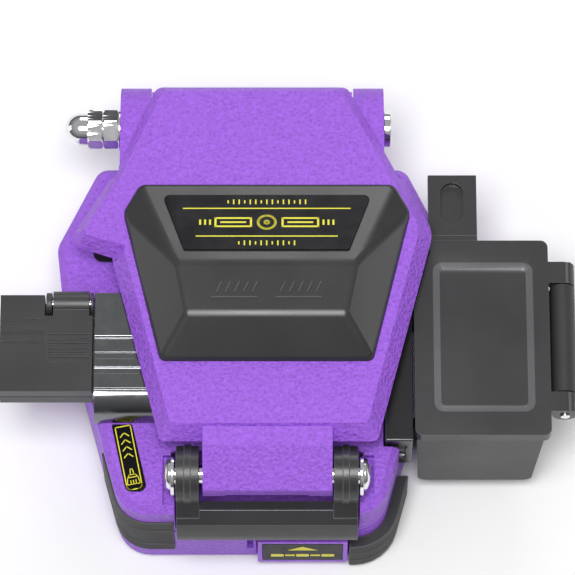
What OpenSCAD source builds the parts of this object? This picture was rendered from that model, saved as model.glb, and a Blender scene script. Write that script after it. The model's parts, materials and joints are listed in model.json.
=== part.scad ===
// Hand-held optical fibre cleaver: cast case, hinged anvil lid with a bail latch, push carriage with a
// round blade, side fibre clamp and a scrap bin fed by two rollers.
// X points right, Y points back, Z points up. The origin is under the middle of the case, on the rest plane.

/* [Case] */
// Half width of the case at its widest corners
case_half_w = 40.2; // [39:0.1:42]
// Y of the case's front face
case_front = -45; // [-46:0.5:-44]
// Y of the case's back face
case_back = 30.6; // [30:0.1:32]
// Height of the deck
deck_z = 28; // [28:0.1:28.2]
// Height of the joint between lower and upper case
split_z = 16; // [15.5:0.1:16.5]
// Wall thickness of both case shells
case_wall = 2.4; // [2:0.1:2.8]
// Height of the rubber feet
foot_h = 1; // [0.8:0.1:1]

/* [Lid] */
// Y of the lid's hinge axis
hinge_y = 38.8; // [38.6:0.1:39.2]
// Height of the lid's hinge axis
hinge_z = 29; // [28.8:0.1:29.2]
// Radius of the hinge bolt
bolt_r = 2; // [2:0.1:2]
// Height of the lid's underside
lid_under = 36.5; // [36.5:0.1:36.8]
// Height of the lid's top face
lid_top = 40; // [39.8:0.1:40.2]
// Height of the black cover's ridge
badge_top = 47; // [46.5:0.1:48]

/* [Latch] */
// Y of the bail's pivot
bail_y = -38.2; // [-38.4:0.1:-38]
// Height of the bail's pivot
bail_z = 31.5; // [31.3:0.1:31.7]

/* [Cleaving] */
// Y of the fibre's line
fibre_y = -10; // [-11:0.5:-9]
// Height of the fibre's line
fibre_z = 35; // [34.9:0.1:35]
// Radius of the round blade
blade_r = 8; // [7:0.1:8]
// X of the blade's left face
blade_x = 2.9; // [2.9:0.1:3]
// Y of the blade's centre before the push
blade_y = -21.5; // [-21.5:0.1:-21]
// Stroke of the push carriage
stroke = 20; // [15:1:20]

/* [Bin] */
// X of the bin lid's hinge axis
bin_hinge_x = 63.5; // [63.4:0.1:64]
// Height of the bin lid's hinge axis
bin_hinge_z = 30.45; // [30.4:0.05:30.6]
// Height of the tray's floor underside
tray_floor = 5; // [4:0.5:8]
// Wall thickness of the tray
tray_wall = 1.4; // [1.2:0.1:1.6]

/* [Side clamp] */
// Y of the side clamp's hinge axis
clamp_y = -3; // [-3.1:0.1:-2.9]
// Height of the side clamp's hinge axis
clamp_z = 35.5; // [35.4:0.1:35.6]

/* [Hidden] */
$fn = 48;
eps = 0.01;
gap = 0.3;
running = 0.05;
purple = [0.56, 0.30, 0.86];
black = [0.13, 0.13, 0.14];
steel = [0.72, 0.73, 0.75];
rubber = [0.08, 0.08, 0.085];

// Case outline, counter-clockwise, and the radius of each corner
front_half_w = case_half_w - 14;
case_points = [
    [front_half_w, case_front], [case_half_w - 1.2, 2.5], [case_half_w, 13], [31.7, case_back],
    [-31.7, case_back], [-case_half_w, 13], [-case_half_w + 1.2, 2.5], [-front_half_w, case_front]
];
case_radii = [7, 14, 5, 3, 3, 5, 14, 7];
plate_z = foot_h + 1;
bin_seat_x = 33.2;
bin_front = -31;
bin_back = 12.6;
housing_pocket_x = 26.7;
notch_left = -15.5;
notch_right = 21.9;
notch_back = -31.9;
notch_floor = 17.2;
boss_points = [[-20, -35], [23.4, -35], [-33, 4], [-25, 23.5], [26, 23.5]];
foot_points = [[0, 0], [-18, -37], [20, -37], [-27, 20], [27, 20]];
lug_inner = 21;
lug_outer = 27.2;
lug_r = 8.5;
// Carriage, across and up
cap_left = 1.2;
cap_right = 19.6;
cap_bottom = 2.4;
cap_top = 14.6;
cap_front = case_front - 2;
cap_back = case_front + 2.5;
rail_x = 10.5;
rail_w = 7;
rail_top = plate_z + 4.8;
block_top = plate_z + 7.9;
slider_top = 14;
slider_back = 3;
blade_z = fibre_z - blade_r;
blade_w = 1.2;
mount_x = blade_x + blade_w + gap;
slot_left = 0.9;
slot_right = 9.2;
// Lid across, where its parts are centred right of the hinge's middle
badge_x = 3.1;
tongue_left = -9.7;
tongue_right = 16.3;
window_y = [fibre_y - 2.85, fibre_y + 2.85];
left_window = [-6.25, 1.05];
right_window = [9.25, 16.55];
lid_main = [[25.4, -33], [37.2, 12.7], [22.6, 37.5], [20.8, 45.3], [-20.8, 45.3], [-22.6, 37.5],
    [-28.35, 26.8], [-28.35, 6], [-18.3, -33]];
lid_main_radii = [1.5, 7, 2, 2, 2, 2, 1, 2, 1.5];
lid_lobe = [[-21, 38], [-36.6, 11.6], [-35.6, 9], [-33, 8.3], [-20, 4]];
lid_lobe_radii = [1, 2, 1.2, 1.2, 1];
bridge_z = lid_top + gap;
// Bail arms
left_arm = [-15.1, -10.5];
right_arm = [16.6, 21.5];
bail_bar = [[-42.3, 26.9], [-44.4, 27.3], [-46.9, 25.2], [-48.1, 22], [-48, 19.2], [-45.8, 18.6],
    [-44.6, 20.5], [-43.1, 23]];
// Bin
tray_left = 33.5;
tray_right = 59.2;
tray_top = 29.3;
tray_front = -30;
tray_back = 11.5;
// The bin lid's corner is cut back to swing past the main lid
bin_corner = [[33.1, -3], [37.1, 12.1]];
bin_screw_y = [-22, 4];
bin_screw_z = 11;
bin_lid_under = 29.8;
bin_lid_top = 33;
knuckle_r = 2.55;
roller_x = 30.4;
roller_r = 2.1;
lower_roller_z = 20.9;
upper_roller_z = 25.7;

function unit(v) = v / norm(v);
function corner_arc(p0, p1, p2, r, n = 6) =
    let (a = unit(p0 - p1), b = unit(p2 - p1), half = acos(a * b) / 2)
    let (c = p1 + unit(a + b) * r / sin(half))
    let (s = p1 + a * r / tan(half) - c, e = p1 + b * r / tan(half) - c)
    let (start = atan2(s.y, s.x), turn = atan2(s.x * e.y - s.y * e.x, s * e))
    [for (i = [0:n]) c + r * [cos(start + turn * i / n), sin(start + turn * i / n)]];
// Closed outline with each corner turned into an arc
function rounded(points, radii) =
    let (n = len(points))
    [for (i = [0:n - 1]) each corner_arc(points[(i + n - 1) % n], points[i], points[(i + 1) % n], radii[i])];
// Counter-clockwise outline moved inwards by d
function inset(points, d) =
    let (n = len(points))
    [for (i = [0:n - 1])
        let (a = unit(points[i] - points[(i + n - 1) % n]), b = unit(points[(i + 1) % n] - points[i]))
        let (na = [-a.y, a.x], nb = [-b.y, b.x])
        points[i] + (na + nb) * d / (1 + na * nb)];
function case_outline(d = 0) = rounded(inset(case_points, d), [for (r = case_radii) max(r - d, 1)]);
function rectangle(x0, x1, y0, y1) = [[x0, y0], [x1, y0], [x1, y1], [x0, y1]];
function arc(centre, r, from, to, n) =
    [for (i = [0:n]) let (a = from + (to - from) * i / n) centre + r * [cos(a), sin(a)]];

module box(x, y, z) {
    translate([x[0], y[0], z[0]]) cube([x[1] - x[0], y[1] - y[0], z[1] - z[0]]);
}

// Upright cylinder between two heights
module post(x, y, z, r) {
    translate([x, y, z[0]]) cylinder(h = z[1] - z[0], r = r);
}

// Cylinder along X
module x_bar(x, y, z, r) {
    translate([x[0], y, z]) rotate([0, 90, 0]) cylinder(h = x[1] - x[0], r = r);
}

// Cylinder along Y
module y_bar(x, y, z, r) {
    translate([x, y[1], z]) rotate([90, 0, 0]) cylinder(h = y[1] - y[0], r = r);
}

// Outline of Y and Z pulled along X
module x_profile(x, points) {
    translate([x[0], 0, 0]) rotate([90, 0, 90]) linear_extrude(x[1] - x[0]) polygon(points);
}

// Outline of X and Z pulled along Y
module y_profile(y, points) {
    translate([0, y[1], 0]) rotate([90, 0, 0]) linear_extrude(y[1] - y[0]) polygon(points);
}

module slab(points, z) {
    translate([0, 0, z[0]]) linear_extrude(z[1] - z[0]) polygon(points);
}

// Round wire wound along Z, standing on the origin
module coil(r, wire, turns, height) {
    steps = turns * 14;
    sides = 6;
    points = [for (i = [0:steps], j = [0:sides - 1])
        let (a = 360 * turns * i / steps, b = 360 * j / sides, out = r + wire / 2 * cos(b))
        [out * cos(a), out * sin(a), wire / 2 * (1 + sin(b)) + (height - wire) * i / steps]];
    skin = [for (i = [0:steps - 1], j = [0:sides - 1])
        let (k = (j + 1) % sides, p = i * sides, q = p + sides)
        each [[p + j, p + k, q + k], [p + j, q + k, q + j]]];
    ends = [[for (j = [sides - 1:-1:0]) j], [for (j = [0:sides - 1]) steps * sides + j]];
    polyhedron(points, concat(skin, ends));
}

// Everything that both case shells leave free at the bin and at the left rubber insert
module case_cutouts() {
    box([bin_seat_x, 60], [bin_front, bin_back], [0, 40]);
    left_bumper_shape(0.02);
}

module left_bumper_shape(play) {
    intersection() {
        difference() {
            slab(case_outline(-0.4), [5.5 - play, 21.6 + play]);
            slab(case_outline(1.4 + play), [5, 22]);
        }
        box([-60, -15.8 + play], [-60, -30 + play], [0, 30]);
    }
}

module lower_case() {
    cavity = inset(case_points, case_wall);
    color(purple)
    difference() {
        union() {
            difference() {
                union() {
                    slab(case_outline(), [foot_h, split_z - 0.4]);
                    slab(case_outline(0.8), [split_z - 0.5, split_z + 0.4]);
                }
                difference() {
                    slab(cavity, [foot_h - eps, split_z + 1]);
                    box([bin_seat_x - case_wall, 60], [bin_front - case_wall, bin_back + case_wall], [0, 20]);
                }
            }
            for (p = boss_points) post(p.x, p.y, [plate_z, split_z + 0.4], 3);
        }
        case_cutouts();
        // Mouth for the push cap, and the small recess beside it
        box([cap_left - gap, cap_right + gap], [-50, -40], [cap_bottom - gap, cap_top + gap]);
        box([-1, 0.3], [-50, case_front + 1.2], [5.2, 10.7]);
        for (p = boss_points) post(p.x, p.y, [0, 12], 1.25);
        for (y = bin_screw_y) x_bar([28, 40], y, bin_screw_z, 1.52);
    }
}

module hinge_lug(x) {
    x_bar(x, hinge_y, hinge_z, lug_r);
    box(x, [case_back - 3, hinge_y], [split_z + 0.4, hinge_z + lug_r]);
    x_profile(x, [[case_back - 3, split_z + 0.4], [hinge_y, split_z + 0.4], [hinge_y + lug_r, hinge_z],
        [case_back - 3, hinge_z]]);
}

module upper_case() {
    under = split_z + 0.4;
    cavity = [[-22, -29.8], [24.3, -29.8], [24.3, 13.2], [33.5, 15], [28.5, case_back - case_wall],
        [-28.5, case_back - case_wall], [-36, 14], [-35.4, 4], [-28, -26]];
    color(purple)
    difference() {
        union() {
            hull() {
                slab(case_outline(), [under, deck_z - 1.5]);
                slab(case_outline(1.5), [deck_z - 0.1, deck_z]);
            }
            for (x = [[-lug_outer, -lug_inner], [lug_inner, lug_outer]]) hinge_lug(x);
        }
        case_cutouts();
        slab(cavity, [under - eps, deck_z - 2.6]);
        // Seat of the roller housing
        box([housing_pocket_x, 60], [bin_front, 10.5], [16.6, 40]);
        // Slot for the blade and its mount
        box([slot_left, slot_right], [blade_y - blade_r - 0.3, blade_y + stroke + blade_r + 1], [20, 30]);
        // Front notch for the bail and the lid's tongue, with shallow seats for the washers
        box([notch_left, notch_right], [-60, notch_back], [notch_floor, 40]);
        box([-17.9, notch_left + eps], [-43.5, -32.9], [26.5, 40]);
        box([notch_right - eps, 24.8], [-43.5, -32.9], [26.5, 40]);
        // Finger pocket in the deck's left side
        slab(rounded(rectangle(-32.7, -24, 9.3, 18), [2, 2, 2, 2]), [26.4, 30]);
        x_bar([-30, 30], hinge_y, hinge_z, bolt_r + running);
    }
}

module bottom_plate() {
    outline = inset(case_points, case_wall + 0.2);
    color(steel)
    difference() {
        slab(outline, [foot_h, plate_z]);
        box([bin_seat_x - case_wall - 0.2, 60], [bin_front - case_wall - 0.2, bin_back + case_wall + 0.2], [0, 5]);
        for (p = boss_points) post(p.x, p.y, [0, 5], 2.3);
    }
}

module rubber_feet() {
    color(rubber)
    for (p = foot_points) post(p.x, p.y, [0, foot_h], 4);
}

module case_screws() {
    color(steel)
    for (p = boss_points) {
        difference() {
            union() {
                post(p.x, p.y, [foot_h + 0.1, plate_z], 2.2);
                post(p.x, p.y, [plate_z - eps, 11], 1.2);
            }
            translate([p.x, p.y, 0]) cylinder(h = foot_h + 0.6, r = 1.1, $fn = 6);
        }
    }
}

module left_bumper() {
    color(rubber)
    difference() {
        left_bumper_shape(0);
        for (z = [9.3, 17.2]) {
            difference() {
                slab(case_outline(-1), [z - 0.3, z + 0.3]);
                slab(case_outline(0.2), [z - 0.4, z + 0.4]);
            }
        }
    }
}

module right_bumper() {
    color(rubber)
    difference() {
        intersection() {
            difference() {
                slab(case_outline(-2.3), [foot_h, 12]);
                slab(case_outline(), [0, 13]);
            }
            box([cap_right + 0.35, 60], [-60, bin_front - 0.5], [0, 13]);
        }
        for (z = [4.2, 8.4]) {
            difference() {
                slab(case_outline(-3), [z - 0.3, z + 0.3]);
                slab(case_outline(-1.8), [z - 0.4, z + 0.4]);
            }
        }
    }
}

module hinge_bolt() {
    color(steel)
    difference() {
        union() {
            x_bar([-36.2, lug_outer + 0.5], hinge_y, hinge_z, bolt_r);
            x_bar([lug_outer, lug_outer + 1.6], hinge_y, hinge_z, 3.7);
        }
        x_bar([lug_outer + 0.6, lug_outer + 2], hinge_y, hinge_z, 1.2, $fn = 6);
    }
}

module hinge_washer() {
    color(steel)
    difference() {
        x_bar([-lug_outer - 0.6, -lug_outer], hinge_y, hinge_z, 4.4);
        x_bar([-lug_outer - 1, -lug_outer + 1], hinge_y, hinge_z, bolt_r + 0.1);
    }
}

module hinge_nut() {
    color(steel)
    difference() {
        x_bar([-lug_outer - 3.8, -lug_outer - 0.6], hinge_y, hinge_z, 4.04, $fn = 6);
        x_bar([-lug_outer - 5, -lug_outer], hinge_y, hinge_z, bolt_r + 0.02);
    }
}

module acorn_nut() {
    inner = -lug_outer - 3.9;
    color(steel)
    difference() {
        union() {
            x_bar([inner - 3.1, inner], hinge_y, hinge_z, 4.04, $fn = 6);
            x_bar([inner - 4.6, inner - 3], hinge_y, hinge_z, 3.4);
            intersection() {
                translate([inner - 4.6, hinge_y, hinge_z]) sphere(r = 3.4);
                x_bar([inner - 9, inner - 4.6], hinge_y, hinge_z, 3.5);
            }
        }
        x_bar([inner - 5.6, inner + 1], hinge_y, hinge_z, bolt_r + 0.02);
    }
}

// Polished step-faced bed that carries the fibre beside the blade
module platform(x) {
    groove = 0.6;
    x_profile(x, [[-0.3, deck_z], [-0.3, fibre_z], [fibre_y + 0.35, fibre_z], [fibre_y, fibre_z - 0.35],
        [fibre_y - 0.35, fibre_z], [-13.2, fibre_z], [-13.2, fibre_z - 0.3], [-14.6, fibre_z - 0.3],
        [-14.6, fibre_z], [-16.4, fibre_z], [-16.4, fibre_z - groove], [-17.7, fibre_z - groove],
        [-17.7, fibre_z - 0.2], [-20.9, fibre_z - 0.2], [-20.9, fibre_z - groove - 0.2],
        [-21.6, fibre_z - groove - 0.2], [-23.1, fibre_z - 1.4], [-24.8, fibre_z - 3.2],
        [-25.8, fibre_z - 5], [-26, fibre_z - 5.8], [-26, deck_z]]);
}

module left_platform() {
    color(steel)
    difference() {
        platform([-31.9, -6.2]);
        box([-32, -19.8], [-21.2, -1.8], [deck_z - 1, 31]);
        for (y = [-4.5, -19]) post(-12, y, [deck_z - 1, 40], 1.6);
        for (y = [-4.5, -19]) post(-12, y, [fibre_z - 2, 40], 2.8);
    }
}

module right_platform() {
    color(steel)
    difference() {
        platform([16.3, 26.3]);
        for (y = [-4.5, -19]) post(21, y, [deck_z - 1, 40], 1.6);
        for (y = [-4.5, -19]) post(21, y, [fibre_z - 2, 40], 2.8);
    }
}

module platform_screws() {
    color(steel)
    for (x = [-12, 21], y = [-4.5, -19]) {
        difference() {
            union() {
                post(x, y, [fibre_z - 2, fibre_z - 0.9], 2.7);
                post(x, y, [deck_z, fibre_z - 1.9], 1.5);
            }
            translate([x, y, fibre_z - 1.6]) cylinder(h = 2, r = 1.2, $fn = 6);
        }
    }
}

module pad_blocks() {
    color(steel)
    for (x = [[-5.9, 0.6], [9.5, 16]]) box(x, [fibre_y - 4, fibre_y + 4], [deck_z, fibre_z - 1]);
}

module lower_pads() {
    color(rubber)
    for (x = [[-5.4, 0.4], [9.9, 15.7]]) box(x, [fibre_y - 2, fibre_y + 2], [fibre_z - 1, fibre_z]);
}

module linear_rail() {
    color(steel)
    difference() {
        box([rail_x - rail_w / 2, rail_x + rail_w / 2], [-18.5, 28], [plate_z, rail_top]);
        for (y = [-14, 4, 22]) {
            post(rail_x, y, [0, 10], 1.3);
            post(rail_x, y, [rail_top - 2, 10], 2.2);
        }
    }
}

module rail_screws() {
    color(steel)
    for (y = [-14, 4, 22]) {
        post(rail_x, y, [plate_z, rail_top - 1.9], 1.2);
        post(rail_x, y, [rail_top - 2, rail_top - 0.4], 2.1);
    }
}

module cleaning_label() {
    color(black)
    slab(rounded([[-28.4, -26.3], [-25.3, -40.7], [-20.9, -40.7], [-24.2, -26.3]], [0.3, 1.4, 1.4, 0.3]),
        [deck_z, deck_z + 0.25]);
}

module clamp_bracket() {
    color(steel)
    box([-50.4, -20], [-21, -2], [deck_z + 0.2, 30.8]);
}

module clamp_body() {
    low = clamp_z - 2.9;
    color(black)
    difference() {
        union() {
            box([-50.9, -32.2], [-22.6, -6.2], [30.9, 34]);
            box([-50.9, -32.2], [-6.3, -1.7], [30.9, low]);
            for (x = [[-41.6, -40.5], [-32.6, -32.1]]) {
                x_bar(x, clamp_y, clamp_z, 2.3);
                box(x, [clamp_y - 2.3, clamp_y + 2.3], [low - eps, clamp_z]);
            }
        }
        x_profile([-51, -32], [[fibre_y - 0.5, 34 + eps], [fibre_y, 33.5], [fibre_y + 0.5, 34 + eps]]);
        box([-48, -36], [fibre_y - 3, fibre_y + 3], [32.8, 35]);
        post(-45.5, -18.6, [31.6, 35], 2);
        x_bar([-42, -32], clamp_y, clamp_z, 0.82);
    }
}

module clamp_lower_pad() {
    color(rubber)
    box([-47.9, -36.1], [fibre_y - 2.9, fibre_y + 2.9], [32.8, 34]);
}

module clamp_magnet() {
    color(steel)
    post(-45.5, -18.6, [31.6, 33.95], 1.95);
}

module clamp_pin() {
    color(steel)
    x_bar([-41.6, -32.1], clamp_y, clamp_z, 0.8);
}

module clamp_lid() {
    under = 34.35;
    top = 37.3;
    rib_rows = [[-50.4, -41.9, -11.6, 0.7], [-50.4, -41.9, -9.4, 0.9], [-50.4, -41.9, -7, 0.6]];
    color(black)
    difference() {
        union() {
            box([-50.9, -32.2], [-22.6, -6.2], [under, top]);
            box([-50.9, -41.9], [-6.3, -1.7], [under, top]);
            x_bar([-40.2, -32.9], clamp_y, clamp_z, 2.6);
            box([-40.2, -32.9], [-6.3, clamp_y], [under, top]);
        }
        for (rib = rib_rows) box([rib[0], rib[1]], [rib[2] - rib[3], rib[2]], [top - 0.5, 40]);
        for (y = [-16.4 : 1 : -9.4]) box([-41.2, -32.7], [y - 0.25, y + 0.25], [top - 0.5, 40]);
        box([-48, -36], [fibre_y - 3, fibre_y + 3], [34, 35.4]);
        x_bar([-52, -32], clamp_y, clamp_z, 0.8 + running);
    }
}

module clamp_upper_pad() {
    color(rubber)
    box([-47.9, -36.1], [fibre_y - 2.9, fibre_y + 2.9], [34.3, 35.4]);
}

module roller_housing() {
    inside = 28;
    color(black)
    difference() {
        box([27, 32.7], [-30.5, 10], [16.6, 30]);
        box([inside, 33], [-29.3, 8.8], [18, 28.8]);
        // Mouth that the fibre end drops into
        box([26, 29.5], [fibre_y - 2, fibre_y + 2], [22, 31]);
        for (z = [lower_roller_z, upper_roller_z]) y_bar(roller_x, [-31, 11], z, 0.9 + running);
    }
}

module roller(z) {
    y_bar(roller_x, [-28.9, 8.4], z, roller_r);
    y_bar(roller_x, [-30.3, 9.8], z, 0.9);
}

module drive_roller() {
    color(steel)
    roller(lower_roller_z);
}

module pinch_roller() {
    color(rubber)
    roller(upper_roller_z);
}

// Section of the tray across X, drawn in by a distance
function tray_section(d) = rounded(
    [[tray_left + 0.8 + d, tray_floor + d], [tray_right - 1.5 - d, tray_floor + d],
        [tray_right - d, tray_top + (d > 0 ? 1 : 0)], [tray_left + d, tray_top + (d > 0 ? 1 : 0)]],
    [2, 2, 0.1, 0.1]);

module bin_tray() {
    barrel_y = [-20.7, 2.5];
    color(black)
    difference() {
        union() {
            difference() {
                y_profile([tray_front, tray_back], tray_section(0));
                y_profile([tray_front + tray_wall, tray_back - tray_wall], tray_section(tray_wall));
            }
            y_bar(bin_hinge_x, barrel_y, bin_hinge_z, knuckle_r);
            box([tray_right - 1, bin_hinge_x], barrel_y, [bin_hinge_z - knuckle_r, tray_top]);
            // Flange that closes the corner which the lid leaves, and the bosses against the case
            slab([[tray_left, bin_corner[0].y - 2], [bin_corner[1].x + 0.2, tray_back], [tray_left, tray_back]],
                [tray_top - tray_wall, tray_top]);
            for (y = bin_screw_y) x_bar([bin_seat_x + 0.02, tray_left + 1.6], y, bin_screw_z, 3.2);
        }
        // Window that lets the cut ends in from the rollers
        box([tray_left - 1, tray_left + 3], [-20, 0], [20.5, 26.5]);
        for (y = bin_screw_y) x_bar([tray_left - 1, 37], y, bin_screw_z, 1.55);
        y_bar(bin_hinge_x, [-30, 12], bin_hinge_z, 1 + running);
    }
}

module bin_screws() {
    color(steel)
    for (y = bin_screw_y) {
        x_bar([29.5, 36], y, bin_screw_z, 1.5);
        x_bar([35.75, 37.1], y, bin_screw_z, 2.6);
    }
}

module bin_pin() {
    color(steel)
    y_bar(bin_hinge_x, [-25.6, 7.8], bin_hinge_z, 1);
}

module bin_lid() {
    color(black)
    difference() {
        union() {
            slab(rounded([[33.1, -30.4], [60.6, -30.4], [60.6, 12.1], bin_corner[1], bin_corner[0]],
                [1.5, 1.5, 1.5, 0.2, 3]), [bin_lid_under, bin_lid_top]);
            x_profile([36.3, 46.3], [[9.9, bin_lid_top], [9.9, bin_lid_under], [12.1, bin_lid_under],
                [12.1, 28.5], [27.7, 28.5], [27.7, 30.6], [14.2, 30.6]]);
            for (y = [[2.8, 7.4], [-25.2, -21]]) {
                y_bar(bin_hinge_x, y, bin_hinge_z, knuckle_r);
                box([60, bin_hinge_x], y, [bin_hinge_z, bin_lid_top]);
                box([60, bin_hinge_x + 1.8], y, [bin_hinge_z, bin_lid_top - 0.3]);
            }
        }
        // Recess with sloping sides
        hull() {
            slab(rounded(rectangle(38.4, 56, -23.9, 5.8), [1, 1, 1, 1]), [bin_lid_top - 0.5, bin_lid_top]);
            slab(rounded(rectangle(37, 57.4, -25.3, 7.2), [2, 2, 2, 2]), [bin_lid_top, bin_lid_top + 1]);
        }
        // Thumb dish on the tab
        hull() {
            for (y = [19, 23.6]) post(41.2, y, [29.3, 32], 2.4);
        }
        y_bar(bin_hinge_x, [-30, 12], bin_hinge_z, 1 + running);
    }
}

// Plate with sloping edges
module bevelled(points, radii, slope) {
    hull() {
        slab(rounded(points, radii), [lid_under, lid_under + 0.3]);
        slab(rounded(inset(points, slope), radii), [lid_top - 0.1, lid_top]);
    }
}

module lid_plate() {
    rear_relief = hinge_z + lug_r + 0.5;
    barrel_r = 5.5;
    color(purple)
    difference() {
        union() {
            difference() {
                union() {
                    bevelled(lid_main, lid_main_radii, 2.7);
                    bevelled(lid_lobe, lid_lobe_radii, 2.4);
                }
                box([-60, 60], [24, 60], [30, rear_relief]);
            }
            // Hinge barrel and the web that carries it
            x_bar([-lug_inner + 0.4, lug_inner - 0.4], hinge_y, hinge_z, barrel_r);
            box([-lug_inner + 0.4, lug_inner - 0.4], [hinge_y - 4.3, hinge_y + 4.2], [hinge_z, rear_relief + 0.5]);
            // Tongue with the two cheeks of the bail's pivot
            x_profile([tongue_left, tongue_right], [[-31, lid_top], [-35, lid_top], [-42.8, 34.7], [-42.6, 31.4],
                [-41, 31.4], [-40.8, 33.6], [-36, 36], [-31, lid_under]]);
            for (x = [[tongue_left, -5.2], [11.8, tongue_right]]) {
                x_bar(x, bail_y, bail_z, 4.4);
                box(x, [bail_y - 1.8, bail_y + 4.2], [bail_z, 36.4]);
            }
        }
        x_bar([-30, 30], hinge_y, hinge_z, bolt_r + running + 0.01);
        for (x = [[-11, -6], [12.6, 20]]) x_bar(x, bail_y, bail_z, 2.02);
        // Windows for the two legs of the clamp block, and the anvil screw's hole
        box(left_window, window_y, [30, 45]);
        box(right_window, window_y, [30, 45]);
        post(7.2, fibre_y, [30, 39], 1.02);
    }
}

// Black cover's outer form, drawn in by a distance
module badge_form(d) {
    base = [[-26, 21.6], [-29.4, 15.3], [-21.5, -17.2], [21.5, -17.2], [29.4, 15.3], [26, 21.6]];
    translate([badge_x, 0, 0])
    hull() {
        slab(inset(base, d), [lid_top - (d > 0 ? 1 : 0), lid_top + 0.6 - d / 2]);
        box([-18.3 + d, 18.3 - d], [1.6, 1.8], [badge_top - d - 0.1, badge_top - d]);
        box([-16.1 + d, 16.1 - d], [-9.5 + d, -9 + d], [badge_top - d - 0.6, badge_top - d - 0.5]);
    }
}

module badge_cover() {
    color(black)
    difference() {
        badge_form(0);
        badge_form(1.5);
    }
}

module badge_label() {
    tilt = atan((badge_top - lid_top - 0.6) / 19.8);
    color([0.03, 0.03, 0.035])
    translate([badge_x, 4.47, 46.17])
    rotate([-tilt, 0, 0])
    slab(rounded([[-16.7, 0], [16.7, 0], [21.3, 14.6], [-21.3, 14.6]], [0.5, 0.5, 1.2, 1.2]), [0, 0.3]);
}

module anvil_holder() {
    color(steel)
    difference() {
        box([1.3, 8.9], [fibre_y - 3, fibre_y + 3], [lid_under - 0.6, lid_under]);
        box([1.8, 4.9], [fibre_y - 2.5, fibre_y + 2.5], [30, 40]);
        post(7.2, fibre_y, [30, 40], 1.05);
    }
}

module anvil() {
    color([0.92, 0.91, 0.88])
    box([1.85, 4.85], [fibre_y - 2.45, fibre_y + 2.45], [fibre_z + 0.35, lid_under]);
}

module anvil_screw() {
    color(steel)
    difference() {
        union() {
            post(7.2, fibre_y, [lid_under - 1.4, lid_under - 0.6], 1.7);
            post(7.2, fibre_y, [lid_under - 0.7, 38.8], 1);
        }
        translate([7.2, fibre_y, lid_under - 1.5]) cylinder(h = 0.6, r = 0.8, $fn = 6);
    }
}

module bail_screws() {
    color(steel)
    for (side = [0, 1]) {
        head = side == 0 ? [-17.6, -16.2] : [22.6, 24];
        shank = side == 0 ? [-16.3, -6.2] : [12.8, 22.7];
        socket = side == 0 ? [-18, -16.9] : [23.3, 25];
        difference() {
            union() {
                x_bar(head, bail_y, bail_z, 3.4);
                x_bar(shank, bail_y, bail_z, 2);
            }
            x_bar(socket, bail_y, bail_z, 1.3, $fn = 6);
        }
    }
}

module bail_washers() {
    color(steel)
    for (x = [[-16.2, -15.4], [21.8, 22.6]]) {
        difference() {
            x_bar(x, bail_y, bail_z, 4.5);
            x_bar([x[0] - 1, x[1] + 1], bail_y, bail_z, 2.1);
        }
    }
}

module bail_frame() {
    pivot = [bail_y, bail_z];
    arm = concat(arc(pivot, 5.7, -60, 205, 18), [[-45.8, 26.4], [-45.4, 21.6], [-43.4, 22.6], [-41.6, 23.4]]);
    color(black)
    difference() {
        union() {
            for (x = [left_arm, right_arm]) {
                x_profile(x, arm);
                x_bar([(x[0] + x[1]) / 2 - 0.65, (x[0] + x[1]) / 2 + 0.65], bail_y, bail_z, 5.95);
            }
            x_profile([left_arm[0], right_arm[1]], bail_bar);
        }
        x_bar([-20, 30], bail_y, bail_z, 2 + running + 0.01);
    }
}

module clamp_block() {
    play = 0.35;
    color(steel) {
        for (x = [left_window, right_window])
            box([x[0] + play, x[1] - play], [window_y[0] + play, window_y[1] - play], [36.3, bridge_z]);
        box([-7.2, 17.5], [fibre_y - 1, fibre_y + 5.5], [bridge_z - eps, bridge_z + 1.5]);
    }
}

module upper_pads() {
    color(rubber)
    for (x = [[-5.4, 0.4], [9.9, 15.7]]) box(x, [fibre_y - 2, fibre_y + 2], [fibre_z + gap, 36.3]);
}

module clamp_springs() {
    color(steel)
    for (x = [-2.5, 12.8]) translate([x, fibre_y + 2.9, bridge_z + 1.5]) coil(1.8, 0.5, 3, 2.8);
}

module push_cap() {
    color(purple)
    difference() {
        box([cap_left, cap_right], [cap_front, cap_back], [cap_bottom, cap_top]);
        box([cap_left + 0.9, cap_right - 0.9], [-60, cap_front + 0.3], [cap_bottom + 0.9, cap_top - 0.9]);
    }
}

module push_label() {
    color([0.03, 0.03, 0.035])
    box([cap_left + 1, cap_right - 1], [cap_front, cap_front + 0.3], [cap_bottom + 1, cap_top - 1]);
}

module slider_plate() {
    color(steel)
    difference() {
        box([2, 19], [cap_back, slider_back], [block_top, slider_top]);
        for (y = [-13, -2]) post(rail_x + 5, y, [0, 20], 1.25);
    }
}

module rail_block() {
    color(steel)
    difference() {
        box([rail_x - 8.5, rail_x + 8.5], [-17, slider_back], [plate_z + 1.4, block_top]);
        box([rail_x - rail_w / 2 - gap, rail_x + rail_w / 2 + gap], [-20, 5], [0, rail_top + gap]);
    }
}

module blade_mount() {
    color([0.35, 0.36, 0.38])
    difference() {
        x_profile([mount_x, mount_x + 4.2], concat([[blade_y - 5.5, slider_top], [blade_y + 7.5, slider_top]],
            arc([blade_y, blade_z], 4, -10, 190, 10)));
        x_bar([mount_x - 1, mount_x + 6], blade_y, blade_z, 2.02);
    }
}

module mount_screws() {
    color(steel)
    for (y = [-13, -2]) {
        post(rail_x + 5, y, [block_top, slider_top + 0.1], 1.2);
        post(rail_x + 5, y, [slider_top, slider_top + 1.4], 2.2);
    }
}

module blade_screw() {
    color(steel)
    difference() {
        union() {
            x_bar([blade_x - 1.5, blade_x - 0.35], blade_y, blade_z, 2.4);
            x_bar([blade_x - 0.4, mount_x + 4], blade_y, blade_z, 2);
        }
        x_bar([blade_x - 2, blade_x - 0.9], blade_y, blade_z, 1.2, $fn = 6);
    }
}

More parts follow.
